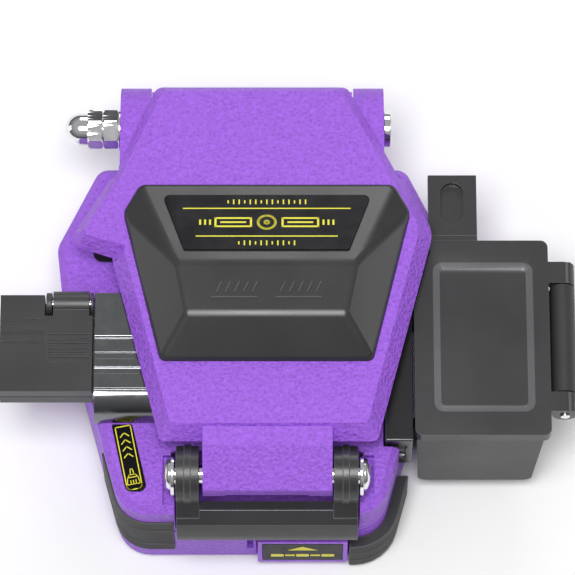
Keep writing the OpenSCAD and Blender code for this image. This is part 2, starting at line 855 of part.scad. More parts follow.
module return_spring() {
    length = case_back - case_wall - slider_back;
    color(steel)
    translate([rail_x, slider_back, 12.2]) rotate([-90, 0, 0]) coil(2, 0.5, 8, length - 0.05);
}

module blade_wheel() {
    color([0.32, 0.33, 0.35])
    difference() {
        union() {
            x_bar([blade_x, blade_x + blade_w], blade_y, blade_z, blade_r - 1.5);
            translate([blade_x + blade_w / 2, blade_y, blade_z]) rotate([0, 90, 0])
                rotate_extrude() polygon([[3, -blade_w / 2], [blade_r - 1.5, -blade_w / 2], [blade_r, -0.05],
                    [blade_r, 0.05], [blade_r - 1.5, blade_w / 2], [3, blade_w / 2]]);
        }
        x_bar([0, 10], blade_y, blade_z, 2 + running);
    }
}

module blade_dial() {
    color([0.9, 0.9, 0.92])
    difference() {
        x_bar([blade_x - 0.25, blade_x], blade_y, blade_z, 5.2);
        x_bar([0, 10], blade_y, blade_z, 2.8);
    }
}

lower_case();
upper_case();
bottom_plate();
rubber_feet();
case_screws();
left_bumper();
right_bumper();
hinge_bolt();
hinge_washer();
hinge_nut();
acorn_nut();
left_platform();
right_platform();
platform_screws();
pad_blocks();
lower_pads();
linear_rail();
rail_screws();
cleaning_label();
clamp_bracket();
clamp_body();
clamp_lower_pad();
clamp_magnet();
clamp_pin();
clamp_lid();
clamp_upper_pad();
roller_housing();
drive_roller();
pinch_roller();
bin_tray();
bin_screws();
bin_pin();
bin_lid();
lid_plate();
badge_cover();
badge_label();
anvil_holder();
anvil();
anvil_screw();
bail_screws();
bail_washers();
bail_frame();
clamp_block();
upper_pads();
clamp_springs();
push_cap();
push_label();
slider_plate();
rail_block();
blade_mount();
mount_screws();
blade_screw();
return_spring();
blade_wheel();
blade_dial();
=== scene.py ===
"""Looks of an optical fibre cleaver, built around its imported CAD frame.

Everything is in metres, +Z up, in the frame of the CAD model. Each sub-assembly is a class that builds
and dresses its pieces, and each finish is a frozen dataclass that makes one procedural material.
"""
import json
import logging
import math
from collections.abc import Callable, Iterable, Iterator, Sequence
from contextlib import contextmanager
from dataclasses import dataclass, replace
from enum import Enum

import bmesh
import bpy
from mathutils import Matrix, Vector

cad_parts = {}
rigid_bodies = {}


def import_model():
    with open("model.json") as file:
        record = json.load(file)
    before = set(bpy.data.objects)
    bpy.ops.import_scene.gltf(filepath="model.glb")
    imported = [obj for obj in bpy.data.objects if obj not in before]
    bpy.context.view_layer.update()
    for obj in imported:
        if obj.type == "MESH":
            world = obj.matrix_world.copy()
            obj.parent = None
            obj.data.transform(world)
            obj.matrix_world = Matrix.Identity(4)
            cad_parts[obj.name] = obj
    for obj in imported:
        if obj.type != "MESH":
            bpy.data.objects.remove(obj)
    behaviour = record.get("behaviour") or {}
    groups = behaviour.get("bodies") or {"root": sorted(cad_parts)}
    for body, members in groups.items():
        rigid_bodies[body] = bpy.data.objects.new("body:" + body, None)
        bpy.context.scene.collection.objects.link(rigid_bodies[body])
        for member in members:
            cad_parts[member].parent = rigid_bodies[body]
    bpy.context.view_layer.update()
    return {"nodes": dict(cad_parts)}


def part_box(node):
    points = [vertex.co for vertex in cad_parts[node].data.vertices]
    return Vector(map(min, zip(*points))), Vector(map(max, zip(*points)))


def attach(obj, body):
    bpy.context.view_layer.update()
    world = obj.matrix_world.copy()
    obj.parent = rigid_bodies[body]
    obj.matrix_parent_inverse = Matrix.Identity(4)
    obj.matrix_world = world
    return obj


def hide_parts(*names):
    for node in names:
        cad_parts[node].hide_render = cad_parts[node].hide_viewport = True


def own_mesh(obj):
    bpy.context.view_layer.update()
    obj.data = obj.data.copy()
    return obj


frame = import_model()
LOG = logging.getLogger("cleaver")
MM = 0.001
FLAT_TURN = math.radians(0.5)  # faces that turn by less than this are one flat face
SOFT_TURN = math.radians(38)  # edges that turn by less than this are shaded smooth
INK = 0.03 * MM
Colour = tuple[float, float, float]
Piece = bpy.types.Object
Point = Sequence[float]
Socket = bpy.types.NodeSocket


class Slot(Enum):
    """Material slots of the record."""

    CAST = "purple_cast"
    PLASTIC = "black_plastic"
    GLOSS = "gloss_black"
    BLACK_METAL = "black_metal"
    CHROME = "chrome"
    STEEL = "steel"
    ALUMINIUM = "aluminium"
    RUBBER = "rubber"
    LABEL = "label"
    CARBIDE = "carbide"
    DIAL = "dial"
    CERAMIC = "ceramic"


class Axis(Enum):
    """Frame axes, as unit vectors."""

    X = (1.0, 0.0, 0.0)
    Y = (0.0, 1.0, 0.0)
    Z = (0.0, 0.0, 1.0)


# ---------------------------------------------------------------- shader nodes


class ShaderTree:
    """Node tree of one material, with the few nodes that the finishes share."""

    def __init__(self, name: str) -> None:
        """Starts a material that holds only a Principled shader and its output.

        Args:
            name: The material's name.
        """
        self.material = bpy.data.materials.new(name)
        self.material.use_nodes = True
        self.nodes = self.material.node_tree.nodes
        self.links = self.material.node_tree.links
        self.shader = self.nodes["Principled BSDF"]
        self.place = self.nodes.new("ShaderNodeTexCoord").outputs["Object"]

    def fixed(self, **values: object) -> None:
        """Sets constants on the shader's own sockets, with underscores for the spaces in their names."""
        for key, value in values.items():
            self.shader.inputs[key.replace("_", " ")].default_value = value

    def node(self, kind: str, values: dict[str | int, object]) -> bpy.types.Node:
        """Adds a node.

        Args:
            kind: The node's type.
            values: What each input takes: a socket to link, or a constant.

        Returns:
            The node.
        """
        made = self.nodes.new(kind)
        for key, value in values.items():
            if isinstance(value, Socket):
                self.links.new(value, made.inputs[key])
            else:
                made.inputs[key].default_value = value
        return made

    def stretched(self, scale: Sequence[float]) -> Socket:
        """Object coordinates scaled apart along each axis."""
        return self.node("ShaderNodeMapping", {"Vector": self.place, "Scale": tuple(scale)}).outputs["Vector"]

    def noise(self, scale: float, detail: float = 3.0, rough: float = 0.5,
              vector: Socket | None = None) -> Socket:
        """Adds a noise texture.

        Args:
            scale: Repeats per metre.
            detail: Octaves of the noise.
            rough: Weight of the finer octaves.
            vector: Coordinates to read, or None for the object's own.

        Returns:
            The noise's value.
        """
        made = self.node("ShaderNodeTexNoise", {
            "Vector": vector or self.place, "Scale": scale, "Detail": detail, "Roughness": rough})
        return made.outputs["Fac"]

    def cells(self, scale: float) -> Socket:
        """Adds soft Voronoi cells.

        Args:
            scale: Cells per metre.

        Returns:
            The distance to the cells' centres.
        """
        made = self.node("ShaderNodeTexVoronoi", {"Vector": self.place, "Scale": scale})
        made.feature = "SMOOTH_F1"
        made.inputs["Smoothness"].default_value = 0.6
        return made.outputs["Distance"]

    def ramp(self, value: Socket, stops: Sequence[tuple[float, Colour]]) -> Socket:
        """Adds a colour ramp.

        Args:
            value: What drives the ramp.
            stops: Places from 0 to 1 with their colours, in order.

        Returns:
            The ramp's colour.
        """
        made = self.node("ShaderNodeValToRGB", {"Fac": value})
        elements = made.color_ramp.elements
        while len(elements) < len(stops):
            elements.new(0.5)
        for element, (place, colour) in zip(elements, stops):
            element.position = place
            element.color = (*colour, 1.0)
        return made.outputs["Color"]

    def span(self, value: Socket, low: float, high: float) -> Socket:
        """Maps 0.3 to 0.7 of a noise onto a range of numbers."""
        limits = {"From Min": 0.3, "From Max": 0.7, "To Min": low, "To Max": high}
        return self.node("ShaderNodeMapRange", {"Value": value, **limits}).outputs["Result"]

    def blend(self, first: Socket, second: Socket, share: float) -> Socket:
        """Mixes two values, with the second one's share from 0 to 1."""
        return self.node("ShaderNodeMix", {0: share, 2: first, 3: second}).outputs[0]

    def raise_surface(self, height: Socket, depth: float, strength: float = 1.0) -> None:
        """Bumps the surface.

        Args:
            height: The pattern, from 0 to 1.
            depth: How deep the pattern is, in metres.
            strength: How much of the bump shows.
        """
        made = self.node("ShaderNodeBump", {"Height": height, "Distance": depth, "Strength": strength})
        self.drive("Normal", made.outputs["Normal"])

    def drive(self, socket: str, value: Socket) -> None:
        """Links a value that varies over the surface to one of the shader's sockets."""
        self.links.new(value, self.shader.inputs[socket])

    def tone(self, value: Socket, colour: Colour, *stops: tuple[float, float]) -> None:
        """Drives the base colour with lighter and darker forms of one colour.

        Args:
            value: What drives the ramp.
            colour: The colour to vary.
            stops: Places from 0 to 1, each with the factor that the colour takes there.
        """
        self.drive("Base Color", self.ramp(value, [(at, scaled(colour, factor)) for at, factor in stops]))

    def gloss(self, value: Socket, low: float, high: float) -> None:
        """Drives the roughness with a noise, between two values."""
        self.drive("Roughness", self.span(value, low, high))


def scaled(colour: Colour, factor: float) -> Colour:
    """A colour made lighter or darker."""
    return tuple(min(channel * factor, 1.0) for channel in colour)


_made: dict[object, bpy.types.Material] = {}


@dataclass(frozen=True)
class Finish:
    """A surface finish. Its material is made once and shared."""

    slot: Slot
    colour: Colour

    def material(self) -> bpy.types.Material:
        """Gives the finish's shared material.

        Returns:
            The material, which is made on first use.
        """
        if self not in _made:
            tree = ShaderTree(f"{self.slot.value}_{type(self).__name__.lower()}_{len(_made)}")
            self.paint(tree)
            _made[self] = tree.material
        return _made[self]

    def worn(self) -> "Finish":
        """The finish as it looks on rounded edges, rubbed and lighter as painted highlight. By default it
        doesn't change.
        """
        return self

    def paint(self, tree: ShaderTree) -> None:
        """Fills the material's node tree."""
        raise NotImplementedError


@dataclass(frozen=True)
class CastPaint(Finish):
    """Wrinkle-textured enamel over a cast shell, lighter on its peaks and darker in its hollows: partly grain
    tone, partly painted highlight and shade.
    """

    grain: float = 1600.0
    depth: float = 0.0006
    strength: float = 1.0

    def worn(self) -> "CastPaint":
        """The same paint on edges, smoothed by hands and lighter as painted highlight."""
        # Lighter colour on the rounded edges: part wear, part painted highlight.
        return replace(self, colour=scaled(self.colour, 1.22), strength=self.strength * 0.45)

    def paint(self, tree: ShaderTree) -> None:
        """Wrinkles from noise and soft cells, which also drive the colour and the gloss.

        Args:
            tree: The material's nodes.
        """
        wrinkle = tree.noise(self.grain, detail=2.5, rough=0.55)
        pebble = tree.cells(self.grain * 0.8)
        texture = tree.blend(wrinkle, pebble, 0.35)
        # Colour follows the bump height, peaks lighter and hollows darker: partly tone, partly painted
        # highlight and shade.
        tree.tone(texture, self.colour, (0.3, 0.85), (0.5, 1.0), (0.66, 1.15))
        tree.gloss(wrinkle, 0.36, 0.52)
        tree.fixed(Coat_Weight=0.05, Coat_Roughness=0.3, Specular_IOR_Level=0.32)
        tree.raise_surface(texture, self.depth, self.strength)


@dataclass(frozen=True)
class MouldedPlastic(Finish):
    """Spark-eroded or polished moulded plastic."""

    roughness: float = 0.42
    grain: float = 5200.0
    depth: float = 0.00003

    def worn(self) -> "MouldedPlastic":
        """The same plastic on edges, greyed and polished by wear and lighter as painted highlight."""
        # Lighter colour on the rounded edges: part wear, part painted highlight.
        return replace(self, colour=scaled(self.colour, 3.0), roughness=self.roughness * 0.8)

    def paint(self, tree: ShaderTree) -> None:
        """Fine mould grain, with a slow drift of tone and gloss.

        Args:
            tree: The material's nodes.
        """
        grain = tree.noise(self.grain, detail=2.0)
        drift = tree.noise(45.0, detail=3.0)
        tree.tone(tree.blend(grain, drift, 0.5), self.colour, (0.32, 0.82), (0.66, 1.2))
        tree.gloss(drift, self.roughness - 0.05, self.roughness + 0.07)
        tree.raise_surface(grain, self.depth, 0.35)


@dataclass(frozen=True)
class PolishedMetal(Finish):
    """Plated or polished metal with faint handling marks."""

    roughness: float = 0.1

    def paint(self, tree: ShaderTree) -> None:
        """A mirror with soft smears in its gloss.

        Args:
            tree: The material's nodes.
        """
        smear = tree.noise(420.0, detail=5.0, rough=0.65)
        tree.tone(smear, self.colour, (0.35, 0.93), (0.7, 1.03))
        tree.gloss(smear, self.roughness * 0.7, self.roughness * 1.6)
        tree.fixed(Metallic=1.0)


@dataclass(frozen=True)
class GroundMetal(Finish):
    """Brushed or ground metal, with fine lines along one axis."""

    along: Axis = Axis.X
    roughness: float = 0.28
    depth: float = 0.000012

    def paint(self, tree: ShaderTree) -> None:
        """Noise drawn out along the grinding direction.

        Args:
            tree: The material's nodes.
        """
        scale = [60.0 if share else 5200.0 for share in self.along.value]
        lines = tree.noise(1.0, detail=4.0, rough=0.6, vector=tree.stretched(scale))
        tree.tone(lines, self.colour, (0.3, 0.86), (0.7, 1.08))
        tree.gloss(lines, self.roughness * 0.8, self.roughness * 1.3)
        tree.fixed(Metallic=1.0)
        tree.raise_surface(lines, self.depth, 0.5)


@dataclass(frozen=True)
class SoftRubber(Finish):
    """Matt rubber with a dusty bloom."""

    roughness: float = 0.62

    def worn(self) -> "SoftRubber":
        """The same rubber on edges, greyed by rubbing and lighter as painted highlight."""
        # Lighter colour on the rounded edges: part wear, part painted highlight.
        return replace(self, colour=scaled(self.colour, 3.2))

    def paint(self, tree: ShaderTree) -> None:
        """Fine pores under a faint grey bloom.

        Args:
            tree: The material's nodes.
        """
        pores = tree.noise(3800.0, detail=2.0)
        bloom = tree.noise(160.0, detail=4.0, rough=0.6)
        tree.tone(bloom, self.colour, (0.35, 0.85), (0.72, 1.5))
        tree.gloss(bloom, self.roughness - 0.08, self.roughness + 0.12)
        tree.raise_surface(pores, 0.00004, 0.4)


@dataclass(frozen=True)
class PrintedFilm(Finish):
    """Glossy label film, or the ink printed on it."""

    roughness: float = 0.24
    shine: float = 0.4

    def paint(self, tree: ShaderTree) -> None:
        """A smooth film with a slight waviness.

        Args:
            tree: The material's nodes.
        """
        wave = tree.noise(260.0, detail=2.0)
        speck = tree.noise(5200.0, detail=2.0)
        tree.tone(speck, self.colour, (0.3, 0.93), (0.7, 1.05))
        tree.gloss(wave, self.roughness - 0.05, self.roughness + 0.08)
        tree.fixed(Specular_IOR_Level=self.shine)
        tree.raise_surface(wave, 0.00004, 0.15)


PURPLE = CastPaint(Slot.CAST, (0.325, 0.112, 0.70))
SMOOTH_PURPLE = replace(PURPLE, strength=0.3)
BLACK = MouldedPlastic(Slot.PLASTIC, (0.034, 0.034, 0.036))
BLACK_LID = MouldedPlastic(Slot.PLASTIC, (0.036, 0.036, 0.038), roughness=0.36)
# Lighter grey for the raised relief on the cover: painted highlight on its strokes.
RELIEF_HIGHLIGHT_GREY = MouldedPlastic(Slot.PLASTIC, (0.085, 0.085, 0.088), roughness=0.34)
COVER_BLACK = MouldedPlastic(Slot.PLASTIC, (0.030, 0.030, 0.031), roughness=0.3)
GLOSS_BLACK = MouldedPlastic(Slot.GLOSS, (0.018, 0.018, 0.02), roughness=0.2, depth=0.00001)
BAIL_PAINT = MouldedPlastic(Slot.BLACK_METAL, (0.032, 0.032, 0.034), roughness=0.34, grain=2600.0,
                            depth=0.00006)
CHROME = PolishedMetal(Slot.CHROME, (0.86, 0.86, 0.88))
BED_STEEL = PolishedMetal(Slot.STEEL, (0.23, 0.235, 0.245), roughness=0.15)
STEEL_X = GroundMetal(Slot.STEEL, (0.60, 0.61, 0.63))
STEEL_Y = replace(STEEL_X, along=Axis.Y)
ALUMINIUM = GroundMetal(Slot.ALUMINIUM, (0.70, 0.71, 0.73), along=Axis.Y, roughness=0.36)
RUBBER = SoftRubber(Slot.RUBBER, (0.022, 0.022, 0.023))
FILM = PrintedFilm(Slot.LABEL, (0.006, 0.006, 0.008), shine=0.08)
YELLOW_INK = PrintedFilm(Slot.LABEL, (0.80, 0.74, 0.035), roughness=0.4)
CARBIDE = GroundMetal(Slot.CARBIDE, (0.30, 0.31, 0.33), along=Axis.Z, roughness=0.2)
DIAL_WHITE = PrintedFilm(Slot.DIAL, (0.84, 0.84, 0.86), roughness=0.5)
DIAL_INK = PrintedFilm(Slot.DIAL, (0.02, 0.02, 0.025), roughness=0.5)
CERAMIC = PrintedFilm(Slot.CERAMIC, (0.84, 0.82, 0.77), roughness=0.2)


# ---------------------------------------------------------------- modelling


def pick(piece: Piece) -> None:
    """Selects one object alone and makes it active.

    Args:
        piece: The object.
    """
    bpy.ops.object.select_all(action="DESELECT")
    piece.select_set(True)
    bpy.context.view_layer.objects.active = piece


@contextmanager
def editing(piece: Piece) -> Iterator[bmesh.types.BMesh]:
    """Edit mode on one object, with nothing selected at first.

    Args:
        piece: The mesh object to edit.

    Yields:
        The edit mesh, whose selection the caller sets.
    """
    pick(piece)
    bpy.ops.object.mode_set(mode="EDIT")
    select_all(False)
    try:
        yield bmesh.from_edit_mesh(piece.data)
    finally:
        bpy.ops.object.mode_set(mode="OBJECT")


def choose(piece: Piece, parts: Iterable[object], wanted: Callable[[object], bool]) -> None:
    """Selects the parts of an edit mesh that a test accepts.

    Args:
        piece: The object in edit mode.
        parts: Its corners, edges or faces.
        wanted: The test.
    """
    for part in parts:
        part.select_set(wanted(part))
    bmesh.update_edit_mesh(piece.data)


def select_all(wanted: bool = True) -> None:
    """Selects everything in edit mode, or nothing."""
    bpy.ops.mesh.select_all(action="SELECT" if wanted else "DESELECT")


def modify(piece: Piece, kind: str, **settings: object) -> None:
    """Adds a modifier with its settings and applies it.

    Args:
        piece: The object.
        kind: The modifier's type.
        settings: Its properties.
    """
    pick(piece)
    modifier = piece.modifiers.new(kind.title(), kind)
    for key, value in settings.items():
        setattr(modifier, key, value)
    bpy.ops.object.modifier_apply(modifier=modifier.name)


def settle(piece: Piece) -> None:
    """Moves an object's place into its mesh."""
    pick(piece)
    bpy.ops.object.transform_apply(location=True, rotation=True, scale=True)


def smooth(piece: Piece) -> None:
    """Shades a piece smooth across its soft edges and flat on its large faces.

    Args:
        piece: The piece.
    """
    modify(piece, "TRIANGULATE", min_vertices=5, quad_method="BEAUTY", ngon_method="BEAUTY")
    pick(piece)
    bpy.ops.object.shade_smooth_by_angle(angle=SOFT_TURN)
    modify(piece, "WEIGHTED_NORMAL", keep_sharp=True, weight=80)


@dataclass(frozen=True)
class Rounding:
    """How the edges of a piece are rounded, with lengths in metres and the angle in degrees.

    Corners closer than merge become one first. Edges that turn by less than angle, or are shorter than
    shortest, stay as they are. Where whole is set, each flat face stays in one part, whatever its outline.
    """

    width: float
    segments: int = 3
    angle: float = 28.0
    merge: float = 0.002 * MM
    shortest: float = 0.0
    whole: bool = False


HAIRLINE = Rounding(0.1 * MM, 2)
FINE = Rounding(0.15 * MM, 2)
SLIGHT = Rounding(0.15 * MM)
PLAIN = Rounding(0.2 * MM)
BROAD = Rounding(0.25 * MM)
FULL = Rounding(0.3 * MM)


def soften(piece: Piece, rounding: Rounding) -> None:
    """Rounds the edges of a piece, as a second material slot that takes the lighter edge finish of wear and
    painted highlight, and shades it.

    Args:
        piece: The piece.
        rounding: Which edges, and how.
    """
    with editing(piece) as mesh:
        weight = mesh.edges.layers.float.new("bevel_weight_edge")
        for edge in mesh.edges:
            turns = edge.calc_face_angle(0.0) > math.radians(rounding.angle)
            edge[weight] = 1.0 if turns and edge.calc_length() > rounding.shortest else 0.0
        bmesh.update_edit_mesh(piece.data)
    piece.data.materials.clear()
    for _ in range(2):
        piece.data.materials.append(None)
    modify(piece, "BEVEL", width=rounding.width, segments=rounding.segments, limit_method="WEIGHT",
           material=1, miter_outer="MITER_ARC", use_clamp_overlap=True)
    smooth(piece)


def wear_slopes(piece: Piece, steepest: float, flattest: float) -> None:
    """Puts the gently sloping faces of a piece into its lighter second material slot, as a painted highlight
    on them.

    Args:
        piece: The piece.
        steepest: Faces at more than this to the level, in degrees, are left as they are.
        flattest: Faces at less than this, in degrees, are left as they are.
    """
    for face in piece.data.polygons:
        if math.cos(math.radians(steepest)) < face.normal.z < math.cos(math.radians(flattest)):
            face.material_index = 1


def join(pieces: Sequence[Piece], name: str) -> Piece:
    """Joins pieces into one object with a new name.

    Args:
        pieces: What to join, the first of which stays.
        name: The new name.

    Returns:
        The joined object.
    """
    bpy.ops.object.select_all(action="DESELECT")
    for piece in pieces:
        piece.select_set(True)
    bpy.context.view_layer.objects.active = pieces[0]
    if len(pieces) > 1:
        bpy.ops.object.join()
    pieces[0].name = name
    pieces[0].data.name = name
    return pieces[0]


def block(low: Point, high: Point) -> Piece:
    """A box between two corners.

    Args:
        low: The low corner.
        high: The high corner.

    Returns:
        The box, with its place in its mesh.
    """
    centre = [(a + b) / 2 for a, b in zip(low, high)]
    bpy.ops.mesh.primitive_cube_add(size=1.0, location=centre, scale=[b - a for a, b in zip(low, high)])
    piece = bpy.context.object
    settle(piece)
    return piece


def rod(start: Point, axis: Axis, length: float, radius: float, sides: int = 64) -> Piece:
    """A round bar from a point along an axis.

    Args:
        start: Centre of the bar's first end.
        axis: The direction it runs in.
        length: Its length.
        radius: Its radius.
        sides: Number of its side faces.

    Returns:
        The bar, with its place in its mesh.
    """
    direction = Vector(axis.value)
    turn = direction.to_track_quat("Z", "Y").to_euler()
    bpy.ops.mesh.primitive_cylinder_add(vertices=sides, radius=radius, depth=length, rotation=turn,
                                        location=Vector(start) + direction * length / 2)
    piece = bpy.context.object
    settle(piece)
    return piece


def stroke(start: Point, end: Point, width: float, film: float = INK) -> Piece:
    """A thin printed line on the XY plane.

    Args:
        start: First end, as X and Y.
        end: Last end, as X and Y.
        width: Width of the line.
        film: Thickness of the ink.

    Returns:
        The line, standing on Z = 0.
    """
    across = Vector(end) - Vector(start)
    bpy.ops.mesh.primitive_cube_add(size=1.0, location=(*(Vector(start) + across / 2), film / 2),
                                    rotation=(0, 0, math.atan2(across.y, across.x)),
                                    scale=(across.length + width, width, film))
    piece = bpy.context.object
    settle(piece)
    return piece


def strokes(path: Sequence[Point], width: float, closed: bool = False) -> list[Piece]:
    """Printed lines through a row of points."""
    ends = list(path[1:]) + ([path[0]] if closed else [])
    return [stroke(a, b, width) for a, b in zip(path, ends)]


def plate(outline: Sequence[Point], thickness: float) -> Piece:
    """A flat plate on the XY plane, filled inside an outline and extruded upwards.

    Args:
        outline: Corners, counter-clockwise, as X and Y.
        thickness: The plate's thickness.

    Returns:
        The plate, standing on Z = 0.
    """
    bpy.ops.mesh.primitive_circle_add(vertices=len(outline), radius=1.0, fill_type="NGON")
    piece = bpy.context.object
    for vertex, point in zip(piece.data.vertices, outline):
        vertex.co = (point[0], point[1], 0.0)
    with editing(piece):
        select_all()
        bpy.ops.mesh.extrude_region_move(TRANSFORM_OT_translate={"value": (0, 0, thickness)})
        select_all()
        bpy.ops.mesh.normals_make_consistent(inside=False)
    return piece


def arc_points(centre: Point, radius: float, start: float, end: float, count: int = 12) -> list[Vector]:
    """Points along an arc on the XY plane, between two angles in degrees."""
    steps = [math.radians(start + (end - start) * i / count) for i in range(count + 1)]
    return [Vector((centre[0] + radius * math.cos(a), centre[1] + radius * math.sin(a))) for a in steps]


def lay_on(piece: Piece, origin: Vector, tilt: float = 0.0, turn: float = 0.0) -> None:
    """Moves a piece made on the XY plane to its place.

    Args:
        piece: The piece.
        origin: Where its own origin goes.
        tilt: Its turn about X, in radians.
        turn: A turn about Z that comes first, in radians.
    """
    spin = Matrix.Rotation(tilt, 4, "X") @ Matrix.Rotation(turn, 4, "Z")
    piece.matrix_world = Matrix.Translation(origin) @ spin
    settle(piece)


def lathe(profile: Sequence[tuple[float, float]], y: float, z: float) -> Piece:
    """Turns a profile about a line along X.

    Args:
        profile: Points as X and radius, closed on the axis at both ends.
        y: Y of the axis.
        z: Height of the axis.

    Returns:
        A closed turned solid.
    """
    bpy.ops.mesh.primitive_circle_add(vertices=len(profile), radius=1.0)
    piece = bpy.context.object
    for vertex, (along, radius) in zip(piece.data.vertices, profile):
        vertex.co = (along, y + radius, z)
    with editing(piece) as mesh:
        choose(piece, mesh.edges, lambda edge: all(abs(v.co.y - y) < 1e-7 for v in edge.verts))
        bpy.ops.mesh.delete(type="EDGE_FACE")
        select_all()
        bpy.ops.mesh.spin(steps=72, angle=2 * math.pi, center=(0, y, z), axis=(1, 0, 0))
        select_all()
        bpy.ops.mesh.remove_doubles(threshold=0.001 * MM)
        bpy.ops.mesh.normals_make_consistent(inside=False)
    return piece


def open_narrow_rims(piece: Piece, tallest: float = 0.35 * MM) -> None:
    """Lets sloping faces run out to the rim where only a narrow upright strip lies between.

    Args:
        piece: The piece.
        tallest: Strips up to this height go.
    """
    with editing(piece) as mesh:
        bpy.ops.mesh.select_mode(type="EDGE")
        select_all(False)
        for face in mesh.faces:
            heights = [vertex.co.z for vertex in face.verts]
            if abs(face.normal.z) > 0.05 or max(heights) - min(heights) > tallest:
                continue
            for edge in face.edges:
                level = abs(edge.verts[0].co.z - edge.verts[1].co.z) < 0.01 * MM
                slopes = [other for other in edge.link_faces if 0.1 < abs(other.normal.z) < 0.95]
                edge.select_set(edge.select or (level and bool(slopes)))
        bmesh.update_edit_mesh(piece.data)
        bpy.ops.mesh.dissolve_edges(use_verts=True)


def cad_copy(node: str, rounding: Rounding) -> Piece:
    """A merged copy of a CAD node, with its flat faces in few convex parts unless they stay whole.

    Args:
        node: The CAD node's name.
        rounding: How its edges will be rounded.

    Returns:
        The copy, with no parent and no materials.
    """
    pick(frame["nodes"][node])
    bpy.ops.object.duplicate(linked=False)
    piece = bpy.context.object
    bpy.ops.object.parent_clear(type="CLEAR_KEEP_TRANSFORM")
    for key in list(piece.keys()):
        del piece[key]
    piece.data.materials.clear()
    with editing(piece):
        select_all()
        bpy.ops.mesh.remove_doubles(threshold=rounding.merge)
        bpy.ops.mesh.dissolve_limited(angle_limit=FLAT_TURN)
    open_narrow_rims(piece)
    with editing(piece):
        select_all()
        bpy.ops.mesh.vert_connect_concave()
        bpy.ops.mesh.dissolve_degenerate(threshold=0.002 * MM)
        if rounding.whole:
            select_all()
            bpy.ops.mesh.dissolve_limited(angle_limit=FLAT_TURN)
    return piece


def dress(piece: Piece, finish: Finish) -> None:
    """Gives a piece one finish, with its lighter edge form on the faces in the second slot: wear and painted
    highlight.

    Args:
        piece: The piece.
        finish: Its surface.
    """
    slots = max((face.material_index for face in piece.data.polygons), default=0)
    places = [face.material_index for face in piece.data.polygons]
    piece.data.materials.clear()
    piece.data.materials.append(finish.material())
    if slots:
        # The second slot takes the lighter edge finish: wear and painted highlight.
        piece.data.materials.append(finish.worn().material())
        piece.data.polygons.foreach_set("material_index", places)


def hull(points: Sequence[Point]) -> Piece:
    """A solid stretched over a set of points, with flat faces kept whole.

    Args:
        points: The corners.

    Returns:
        The solid.
    """
    bpy.ops.mesh.primitive_circle_add(vertices=len(points), radius=1.0)
    piece = bpy.context.object
    for vertex, point in zip(piece.data.vertices, points):
        vertex.co = point
    with editing(piece):
        select_all()
        bpy.ops.mesh.convex_hull()
        select_all()
        bpy.ops.mesh.dissolve_limited(angle_limit=FLAT_TURN)
        bpy.ops.mesh.normals_make_consistent(inside=False)
    return piece


def carve(piece: Piece, cutter: Piece, operation: str = "DIFFERENCE") -> None:
    """Cuts one solid with another and removes the cutter."""
    modify(piece, "BOOLEAN", operation=operation, object=cutter, solver="EXACT")
    bpy.data.objects.remove(cutter)


def coil(start: Vector, axis: Axis, radius: float, wire: float, turns: int, length: float) -> Piece:
    """A closed wire coil.

    Args:
        start: Centre of the coil's first end.
        axis: The direction it runs in.
        radius: Radius of the wire's centre line.
        wire: Radius of the wire.
        turns: Number of turns.
        length: Overall length.

    Returns:
        The coil, with its place in its mesh.
    """
    bpy.ops.mesh.primitive_circle_add(vertices=10, radius=wire, location=(radius, 0, wire),
                                      rotation=(math.pi / 2, 0, 0))
    piece = bpy.context.object
    settle(piece)
    modify(piece, "SCREW", axis="Z", angle=2 * math.pi, iterations=turns, steps=28, render_steps=28,
           screw_offset=(length - 2 * wire) / turns)
    with editing(piece) as mesh:
        bpy.ops.mesh.select_mode(type="EDGE")
        for limit in (length / 2, length + wire):
            choose(piece, mesh.edges, lambda edge: edge.is_boundary and edge.verts[0].co.z < limit)
            bpy.ops.mesh.edge_face_add()
            select_all(False)
        select_all()
        bpy.ops.mesh.normals_make_consistent(inside=False)
    piece.rotation_euler = Vector(axis.value).to_track_quat("Z", "Y").to_euler()
    piece.location = start
    settle(piece)
    pick(piece)
    bpy.ops.object.shade_smooth_by_angle(angle=math.radians(50))
    return piece


# ---------------------------------------------------------------- sub-assemblies


@dataclass
class SubAssembly:
    """A group of pieces that mostly move with one body."""

    body: str

    def add(self, piece: Piece, finish: Finish, *replaced: str, body: str | None = None) -> None:
        """Dresses a new piece, lets it ride on a body and reports it.

        Args:
            piece: The finished piece.
            finish: Its surface.
            replaced: CAD nodes that it stands for.
            body: The body it moves with, or None for the sub-assembly's own.
        """
        dress(piece, finish)
        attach(piece, body or self.body)
        if replaced:
            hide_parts(*replaced)
        LOG.info("%s: %d faces", piece.name, len(piece.data.polygons))

    def rounded(self, node: str, finish: Finish, rounding: Rounding, body: str | None = None) -> Piece:
        """Stands a copy with rounded edges in for a CAD node.

        Args:
            node: The CAD node.
            finish: Its surface.
            rounding: How its edges are rounded.
            body: The body it moves with, or None for the sub-assembly's own.

        Returns:
            The new piece.
        """
        piece = cad_copy(node, rounding)
        piece.name = f"{node}_shell"
        piece.data.name = piece.name
        soften(piece, rounding)
        self.add(piece, finish, node, body=body)
        return piece

    def shells(self, *rows: tuple[object, ...]) -> None:
        """Stands rounded copies in for CAD nodes, each row being what rounded() takes."""
        for row in rows:
            self.rounded(*row)

    def finish_cad(self, finish: Finish, *nodes: str) -> None:
        """Gives CAD nodes that stay as they are their finish.

        Args:
            finish: Their surface.
            nodes: The CAD nodes.
        """
        for node in nodes:
            shown = frame["nodes"][node]
            shown.data.materials.clear()
            shown.data.materials.append(finish.material())
            LOG.info("%s: CAD solid with %s", node, finish.slot.value)


